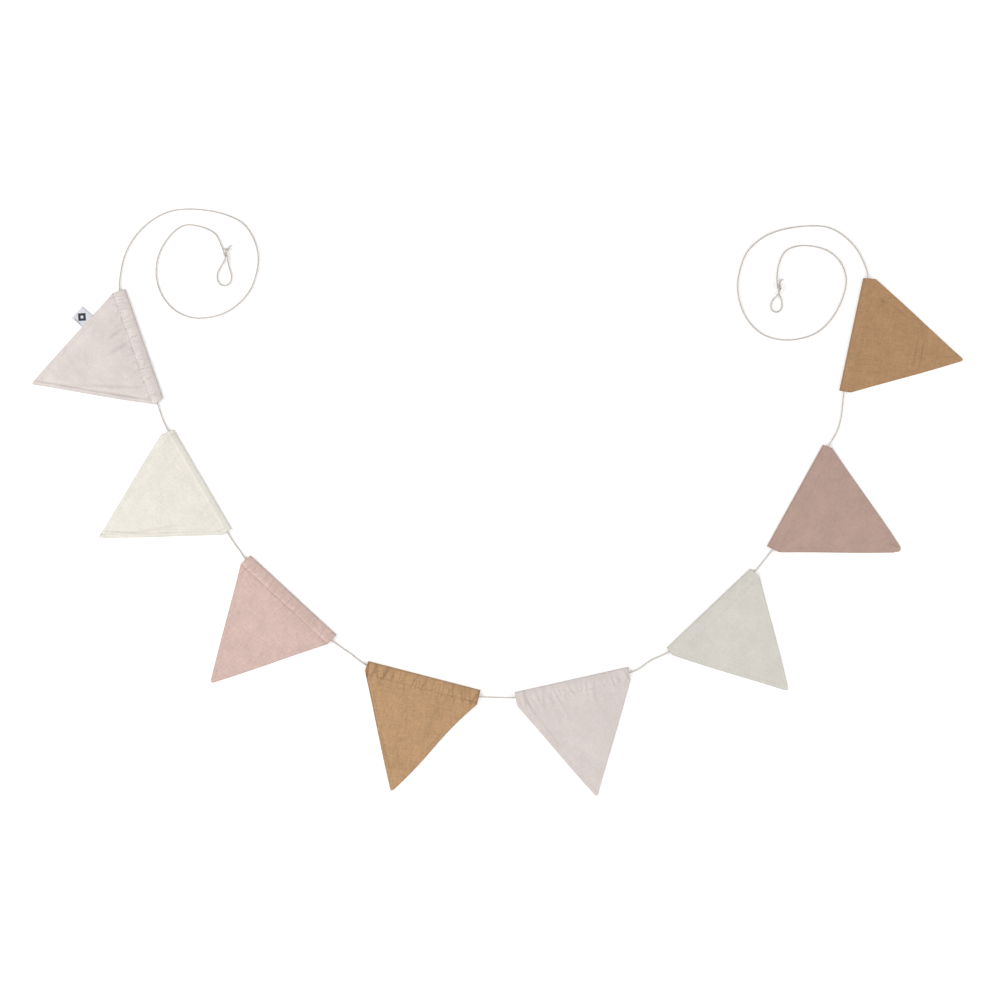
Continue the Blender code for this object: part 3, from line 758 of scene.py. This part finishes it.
# Sizes and strengths of a pennant's bumps
SWELL_SIZE = 38.0
CRUMPLE_SIZE = 11.0
FINE_SIZE = 4.5
FINE_SHARE = 0.35
LIFT_SIZE = 30.0
LIFT = 0.35  # how far its edges come off the floor in places
UNDER_SIZE = 24.0
UNDER_RISE = 0.3
SEAM_PULL = 0.25  # how far the stitches pull the underside up
INSET = 16  # where inside the edges they are whole
BELOW = 20  # and where below the stitches
MOUTH_EASE = 2.5  # from an end of a channel's mouth to where it is open


def row_depths(pennant):
    rows = [np.arange(start, end - step / 2, step) for start, end, step in ROW_RUNS]
    start = ROW_RUNS[-1][1]
    end = pennant.drop - TIP_RUNS[0][0]
    rows.append(np.linspace(start, end, round((end - start) / BODY_STEP) + 1)[:-1])
    rows += [pennant.drop - np.arange(far, near + step / 2, -step) for far, near, step in TIP_RUNS]
    return np.append(np.concatenate(rows), pennant.drop)


def column_shares(pennant):
    near = np.array(SIDE_OFFSETS) / pennant.width
    middle = np.linspace(near[-1], 1 - near[-1], COLUMNS)[1:-1]
    return np.concatenate([near, middle, 1 - near[::-1]])


def held_up(pennant, look, x, depth):
    """How far the cord under the cloth holds it up, from 0 to 1."""
    line = cord_depth(pennant, x)
    reach = np.where(depth < line, line, STITCH_DEPTH - PINNED - line)
    fullness = np.where(depth < line, look.outer, look.inner)
    return 1 - np.clip(np.abs(depth - line) / reach, 0.0, 1.0) ** fullness


def puckers(pennant, look, x, depth):
    """Small folds across the stitches, each fading into the channel and into the body, and
    the painted shade along the steeper side of each, from 0 to 1."""
    draw = np.random.default_rng(abs(int(pennant.x * 10)))
    seam = depth - STITCH_DEPTH
    total = np.zeros_like(x)
    fold_shade = np.zeros_like(x)
    for i in range(look.puckers):
        share = 2 * (i + 0.5 + draw.uniform(*PUCKER_SLIP)) / look.puckers - 1
        size = draw.uniform(*PUCKER_SIZE) * (1 + look.ends * abs(share) ** 4)
        width = draw.uniform(*PUCKER_WIDTH)
        tilt = draw.uniform(*PUCKER_TILT)
        above = look.above * draw.uniform(*PUCKER_ABOVE)
        below = look.below * draw.choice(PUCKER_BELOW, p=PUCKER_CHANCES)
        middle = share * pennant.width / 2 + tilt * seam
        off = (x - middle) / (width * (1 + np.abs(seam) / PUCKER_SPREAD))
        off *= np.where(off > 0, PUCKER_STEEP[1], PUCKER_STEEP[0])
        fade = np.exp(-np.where(seam < 0, -seam / above, seam / below))
        total += size * bell(off) * fade
        # A line of painted shade along the steeper side of the pucker.
        fold_shade += size * bell((off - FOLD_SHADE_LINE) / FOLD_SHADE_HALF) * fade**FOLD_SHADE_FADE
    pinch = 1 - PINCH * bell(seam)
    return look.rise * total * pinch, np.clip(look.gather * fold_shade * pinch, 0, 1)


def crease_height(x, depth, x1, depth1, x2, depth2, height, reach):
    """How high one crease stands, falling to its ends and its sides."""
    run = np.array((x2 - x1, depth2 - depth1))
    share = np.clip(((x - x1) * run[0] + (depth - depth1) * run[1]) / run.dot(run), 0.0, 1.0)
    off = np.hypot(x - x1 - share * run[0], depth - depth1 - share * run[1])
    fade = np.sin(math.pi * blend(CREASE_ENDS, 1 - CREASE_ENDS, share))
    return height * fade * (1 - eased(off / reach))


def hems(look, left_off, right_off, depth, seed):
    """The seam allowance inside each side: its height, as a band that stands up a little, and
    the painted shade along the band's edge."""
    height, painted_shade = 0.0, 0.0
    for rise, off, part in ((look.hem_l, left_off, 1), (look.hem_r, right_off, 2)):
        band = eased((HEM_WIDTH - off) / HEM_STEP + 0.5)
        uneven = 0.75 + 0.35 * noise(depth, off * 0.3, 16.0, seed + part)
        ripple = 0.25 * noise(depth, off, RIPPLE_SIZE, seed + 2 + part)
        height += rise * (band * uneven + ripple * np.exp(-off / RIPPLE_SIZE))
        # Painted shade along the band's edge, broken up along the side.
        shown = 0.55 + 1.2 * noise(depth, 0 * off, 15.0, seed + 40 + part)
        painted_shade += rise * bell((off - HEM_LINE) / 0.9) * np.clip(shown, 0, 1)
    return height, painted_shade


def cloth_layers(pennant, look, x, depth):
    """Heights of a pennant's upper face and its underside, before its edges are turned, and
    the share of painted shade on its colour, from 0 to 1."""
    seed = abs(int(pennant.x))
    slope = math.cos(math.atan2(pennant.width / 2, pennant.drop))
    left_off = (x - side_x(pennant, depth, -1)) * slope
    right_off = (side_x(pennant, depth, 1) - x) * slope
    off = np.minimum(np.minimum(left_off, right_off), pennant.drop - depth)
    inside = eased(off / INSET)
    below = eased((depth - STITCH_DEPTH) / BELOW)
    body = look.swell * (0.55 + 0.6 * noise(x, depth, SWELL_SIZE, seed)) * inside * below
    body += look.crumple * noise(x, depth, CRUMPLE_SIZE, seed + 10) * (0.25 + 0.75 * below)
    body += FINE_SHARE * look.crumple * noise(x, depth, FINE_SIZE, seed + 20)
    height, painted_shade = hems(look, left_off, right_off, depth, seed + 30)
    body += height
    # Painted shade along the sides and along the fold of the heading, stronger where thick threads show
    # more.
    edge_shade = SIDE_SHADE * bell(off / SIDE_REACH)
    edge_shade += HEADING_SHADE * bell(depth / HEADING_REACH)
    painted_shade = painted_shade + edge_shade * (1 + look.slub) / 2
    line = cord_depth(pennant, x)
    # Painted shade over the channel, between the cord and the stitches.
    painted_shade += look.shade * eased((depth - line) / 3) * eased((STITCH_DEPTH - depth) / 2)
    # Each crease raises the body; a trough sinks it and gets painted shade as well.
    for row in CREASES[pennant.node]:
        height = crease_height(x, depth, *row)
        body += height
        painted_shade = painted_shade + TROUGH_SHADE * np.maximum(-height, 0.0)
    lift = LIFT * eased((noise(x, depth, LIFT_SIZE, seed + 40) - 0.1) / 0.9)
    lift = lift * (1 - inside) * below
    held = held_up(pennant, look, x, depth)
    seam = np.abs(depth - STITCH_DEPTH)
    fall = 1 - eased((depth - STITCH_DEPTH) / SEAM_FALL)
    rise = eased((depth - RISE_FROM) / (STITCH_DEPTH - RISE_FROM))
    raised = SEAM_RISE * np.where(depth > STITCH_DEPTH, fall, rise)
    edge = np.where(depth < line, FOLD_RISE, SEAM_RISE * fall)
    top = blend(THICK + edge, CREST, held) + lift + body * (1 - 0.7 * held)
    folds, fold_shade = puckers(pennant, look, x, depth)
    top += folds * (1 - 0.3 * held)
    top -= look.seam * bell(seam / 0.9)
    uneven = 0.5 + 0.5 * noise(x, depth, UNDER_SIZE, seed + 50)
    under = FLOOR_GAP + lift + raised + SEAM_PULL * bell(seam)
    under = under + UNDER_RISE * inside * below * uneven * look.swell
    return np.maximum(top, under + 2 * LAYER * 0.8), under, np.clip(painted_shade + fold_shade, 0, 1)


def turned_edge(distance, radius):
    """0 at an edge and 1 a radius inside it, round between."""
    return np.sqrt(1 - (1 - np.clip(distance / radius, 0, 1)) ** 2)


def seam_wander(pennant, look, x, depth):
    """How far the cloth round the stitches is pulled from a straight line."""
    near = bell((depth - STITCH_DEPTH) / 5)
    return look.wander * near * noise(x, 0 * x, 13.0, abs(int(pennant.y)) + 60)


def add_pennant(number, pennant, look):
    """Two layers of cloth joined all round but for the channel's ends, where they part."""
    shares = column_shares(pennant)
    depths = row_depths(pennant)
    depth = np.repeat(depths[:, None], len(shares), axis=1)
    left = side_x(pennant, depth, -1)
    right = side_x(pennant, depth, 1)
    x = blend(left, right, shares[None, :])
    top, under, painted_shade = cloth_layers(pennant, look, x, depth)

    first = int(np.argmin(np.abs(depths - CHANNEL_TOP)))
    last = int(np.argmin(np.abs(depths - STITCH_DEPTH)))
    opened = eased((depth - CHANNEL_TOP) / MOUTH_EASE)
    opened = opened * eased((STITCH_DEPTH - depth) / MOUTH_EASE)
    slope = math.cos(math.atan2(pennant.width / 2, pennant.drop))
    side = np.minimum(x - left, right - x) * slope
    sides = turned_edge(side, blend(EDGE_ROLL, MOUTH_ROLL, opened))
    ends = turned_edge(np.minimum(depth, pennant.drop - depth), EDGE_ROLL)
    roll = np.minimum(sides, ends)
    middle = (top + under) / 2
    top = top - (1 - roll) * blend(top - middle, MOUTH_ROLL, opened)
    under = under + (1 - roll) * blend(middle - under, MOUTH_ROLL / 2, opened)
    lining_under = under + LAYER
    lining_top = np.maximum(top - LAYER, lining_under + 0.02)
    for row in (first, last):
        lining_top[row] = lining_under[row] = (top[row] + under[row]) / 2

    drawn = -(depth + seam_wander(pennant, look, x, depth))
    layers = [np.stack([x, drawn, z], axis=-1) for z in (top, under, lining_top, lining_under)]
    count = depth.size
    upper, lower, inner_top, inner_under = (
        np.arange(count).reshape(depth.shape) + count * i for i in range(4)
    )
    # The layers share their points round the outline, except beside the channel.
    for edge in (0, -1):
        lower[:first + 1, edge] = upper[:first + 1, edge]
        lower[last:, edge] = upper[last:, edge]
    lower[0], lower[-1] = upper[0], upper[-1]
    inner_top[[first, last]] = inner_under[[first, last]]
    rows = slice(first, last + 1)
    faces = [
        grid_faces(upper, turned=True),
        grid_faces(lower),
        grid_faces(inner_top[rows]),
        grid_faces(inner_under[rows], turned=True),
    ]
    for edge, turned in ((0, False), (-1, True)):
        faces.append(grid_faces(np.stack([upper[rows, edge], inner_top[rows, edge]], 1), turned))
        faces.append(grid_faces(np.stack([inner_under[rows, edge], lower[rows, edge]], 1), turned))
    points = np.concatenate([layer.reshape(-1, 3) for layer in layers])
    material = cloth_material("cloth_%d" % number, look, NOISE_SHIFT * number)
    painted_shade = np.concatenate([painted_shade.ravel()] + [0 * painted_shade.ravel()] * 3)
    obj = mesh_object("pennant_%d" % number, points, np.vstack(faces), material, painted_shade)
    return place_like(obj, pennant)


def capsule_points(length, thick, bow):
    """Rings of a stitch along x, round at its ends and bowed up in the middle."""
    ends = np.sin(np.linspace(-math.pi / 2, math.pi / 2, 6))
    radius = thick / 2 * np.sqrt(np.clip(1 - ends**6, 0.02, 1))
    turns = np.arange(STITCH_SIDES) * 2 * math.pi / STITCH_SIDES
    middle = bow * (1 - ends**2)
    along = np.repeat((ends * length / 2)[:, None], STITCH_SIDES, axis=1)
    across = radius[:, None] * np.cos(turns)
    up = middle[:, None] + radius[:, None] * np.sin(turns)
    return np.stack([along, across, up], axis=-1)


def add_stitches(number, pennant, look):
    """The line of stitches along the channel, on both faces of the cloth."""
    left = float(side_x(pennant, STITCH_DEPTH, -1))
    right = float(side_x(pennant, STITCH_DEPTH, 1))
    middles = np.arange(left + 1.8, right - 1.5, STITCH_PITCH)
    rings = capsule_points(STITCH_LENGTH, STITCH_THICK, 0.1)
    index = np.arange(rings.shape[0] * STITCH_SIDES).reshape(-1, STITCH_SIDES)
    # A stitch's two end rings are small enough to be closed by two quads each.
    caps = [index[0][[3, 2, 1, 0]], index[0][[0, 5, 4, 3]]]
    caps += [index[-1][[0, 1, 2, 3]], index[-1][[3, 4, 5, 0]]]
    tube = np.vstack([grid_faces(np.hstack([index, index[:, :1]])), caps])
    points, faces = [], []
    depth = np.full(3, STITCH_DEPTH)
    for up, shift in ((1, 0.0), (-1, STITCH_PITCH / 2)):
        for x in middles + shift:
            ends = np.array((x - 1.0, x, x + 1.0))
            wander = seam_wander(pennant, look, ends, depth)
            top, under, _ = cloth_layers(pennant, look, ends, depth)
            height = top if up > 0 else under
            turn = (wander[2] - wander[0]) / 2
            tilt = (height[2] - height[0]) / 2
            moved = rings.copy()
            moved[..., 1] = rings[..., 1] * up - turn * rings[..., 0]
            moved[..., 2] = rings[..., 2] * up + tilt * rings[..., 0]
            moved += (x, -STITCH_DEPTH - wander[1], height[1] + 0.02 * up)
            points.append(moved.reshape(-1, 3))
            faces.append(tube + index.size * len(faces))
    obj = mesh_object(
        "stitches_%d" % number,
        np.vstack(points),
        np.vstack(faces),
        thread_material("thread_%d" % number, look),
    )
    return place_like(obj, pennant)


def add_flags():
    for number, (pennant, look) in enumerate(zip(PENNANTS, LOOKS), 1):
        cloth = add_pennant(number, pennant, look)
        stitches = add_stitches(number, pennant, look)
        for piece in (cloth, stitches):
            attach(piece, "root")
        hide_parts(pennant.node)


# --- Label ---


def label_material():
    """White woven tape with a plain lozenge and a thin bar beside it."""
    material, tree, shader = new_material("woven_label", 0.65, sheen=0.1)
    place = own_place(tree)
    axes = add_node(tree, "SeparateXYZ", {0: place})
    out = maths(tree, "ABSOLUTE", maths(tree, "SUBTRACT", axes.outputs[0], LABEL_MIDDLE))
    side = maths(tree, "ABSOLUTE", axes.outputs[1])
    reach = maths(tree, "ADD", out, side)
    lozenge = maths(tree, "LESS_THAN", reach, LOZENGE)
    hole = maths(tree, "LESS_THAN", reach, LOZENGE_HOLE)
    near = maths(tree, "ABSOLUTE", maths(tree, "SUBTRACT", axes.outputs[1], BAR_SIDE))
    wide = maths(tree, "LESS_THAN", near, BAR_WIDTH / 2)
    bar = product(tree, wide, maths(tree, "LESS_THAN", out, BAR_LENGTH / 2))
    ink = maths(tree, "MAXIMUM", maths(tree, "SUBTRACT", lozenge, hole), bar)
    threads = weave_height(tree, place, TAPE_PITCH)
    # Tape and ink are darker where the weave dips: painted shade between the threads.
    tape = shaded(tree, threads, LABEL_COLOUR, 0.03)
    dark = shaded(tree, threads, LABEL_INK, 0.25)
    colour = add_node(tree, "MixRGB", {"Fac": ink, "Color1": tape, "Color2": dark}).outputs[0]
    tree.links.new(colour, shader.inputs["Base Color"])
    add_bump(tree, shader, [(threads, 0.08), (ink, 0.12)])
    return material


def label_section():
    """Middle line of the folded tape, from its lower end out round the fold and back, as
    distances out from the seam and heights."""
    low = FLOOR_GAP + LABEL_LAYER / 2
    high = LABEL_HIGH - LABEL_LAYER / 2
    fold = (high - low) / 2
    bend = LABEL_LENGTH - LABEL_LAYER / 2 - fold
    outs = np.linspace(-LABEL_TUCK, bend, 22)
    turns = np.radians(np.linspace(-80, 80, 9))
    slack = LABEL_SLACK * np.sin(math.pi * (outs - outs[0]) / (bend - outs[0]))
    # Both layers come together where the seam holds them.
    shut = 0.7 * fold * eased((4 - outs) / 6)
    lower = np.stack([outs, low + shut], 1)
    round_end = np.stack([bend + fold * np.cos(turns), low + fold + fold * np.sin(turns)], 1)
    upper = np.stack([outs, high + slack - shut], 1)[::-1]
    return np.vstack([lower, round_end, upper])


def add_label():
    """A folded tape whose open end goes into a side seam of the first pennant."""
    first = PENNANTS[0]
    foot = np.array((float(side_x(first, first.left, -1)), -first.left))
    tip = np.array((first.tip, -first.drop))
    seam = (tip - foot) / np.linalg.norm(tip - foot)
    outward = np.array((seam[1], -seam[0]))
    start = foot + seam * LABEL_ALONG + outward * first.bow_l
    section = label_section()
    across = np.linspace(-LABEL_WIDTH / 2, LABEL_WIDTH / 2, 23)
    ahead = np.gradient(section, axis=0)
    ahead /= np.linalg.norm(ahead, axis=1)[:, None]
    normal = np.stack([ahead[:, 1], -ahead[:, 0]], axis=1)
    sheets = []
    for shift in (LABEL_LAYER / 2, -LABEL_LAYER / 2):
        line = section + normal * shift
        out = np.repeat(line[:, :1], len(across), axis=1)
        up = np.repeat(line[:, 1:], len(across), axis=1)
        side = np.repeat(across[None, :], len(line), axis=0)
        far = eased(out / LABEL_LENGTH)
        corner = LABEL_LIFT * eased(side / 8 - 0.2)
        up = up + 0.01 + far * (corner + 0.06 * noise(out, side, 5.0, 7))
        sheets.append(np.stack([out, side * (1 - 0.012 * far), up], axis=-1))
    count = sheets[0][..., 0].size
    outer, inner = (np.arange(count).reshape(sheets[0].shape[:2]) + count * i for i in range(2))
    faces = [grid_faces(outer), grid_faces(inner, turned=True)]
    for edge, turned in ((0, True), (-1, False)):
        faces.append(grid_faces(np.stack([outer[:, edge], inner[:, edge]], 1), turned))
        faces.append(grid_faces(np.stack([outer[edge], inner[edge]], 1), not turned))
    points = np.concatenate([sheet.reshape(-1, 3) for sheet in sheets])
    obj = mesh_object("folded_label", points, np.vstack(faces), label_material())
    x, y = to_plane(first, start[0], -start[1])
    obj.location = (x * MM, y * MM, 0.0)
    obj.rotation_euler.z = math.atan2(outward[1], outward[0]) + math.radians(first.turn)
    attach(obj, "root")
    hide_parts("label")


# --- Picture ---

# Each light: place, size of its square, power in watts. All face the same place.
LIGHTS = [
    ((-2.7, 0.2, 1.42), 1.2, 60.0),
    ((2.7, -0.15, 1.42), 1.2, 34.0),
    ((-0.2, -2.65, 1.5), 1.2, 26.0),
]
LIT = Vector((0.0, 0.05, 0.0))
SKY = 0.42
FLOOR_HALF = 4000.0
FLOOR_GLOW = 0.2  # the floor is lit from below too, so that it stays white to its corners


def add_camera():
    data = bpy.data.cameras.new("camera")
    data.lens = LENS
    data.sensor_width = SENSOR
    data.clip_start = 0.1
    data.clip_end = 20.0
    camera = new_object("camera", data)
    camera.location = (*VIEW_CENTRE, FIELD * LENS / SENSOR)
    bpy.context.scene.camera = camera


def add_lights():
    for number, (place, size, power) in enumerate(LIGHTS):
        data = bpy.data.lights.new("light_%d" % number, "AREA")
        data.shape = "SQUARE"
        data.size = size
        data.energy = power
        light = new_object(data.name, data)
        light.location = place
        aim = LIT - light.location
        light.rotation_euler = aim.to_track_quat("-Z", "Y").to_euler()
    world = bpy.data.worlds.new("studio")
    world.use_nodes = True
    background = world.node_tree.nodes["Background"]
    background.inputs["Color"].default_value = (1.0, 1.0, 1.0, 1.0)
    background.inputs["Strength"].default_value = SKY
    bpy.context.scene.world = world
    bpy.context.scene.view_settings.view_transform = "Standard"


def add_floor():
    """A plain pale floor, far wider than the picture."""
    index = np.arange(16).reshape(4, 4)
    line = np.linspace(-FLOOR_HALF, FLOOR_HALF, 4)
    x, y = np.meshgrid(line, line)
    points = np.stack([x, y, 0 * x], axis=-1).reshape(-1, 3)
    material, tree, shader = new_material("pale_floor", 0.8)
    grain = speckle(tree, own_place(tree), (30.0, 30.0, 30.0))
    tree.links.new(shaded(tree, grain, FLOOR_COLOUR, 0.004), shader.inputs["Base Color"])
    shader.inputs["Emission Color"].default_value = (1.0, 1.0, 1.0, 1.0)
    shader.inputs["Emission Strength"].default_value = FLOOR_GLOW
    mesh_object("floor", points, grid_faces(index), material)


add_camera()
add_cord()
add_flags()
add_label()
add_lights()
add_floor()

bpy.context.view_layer.update()
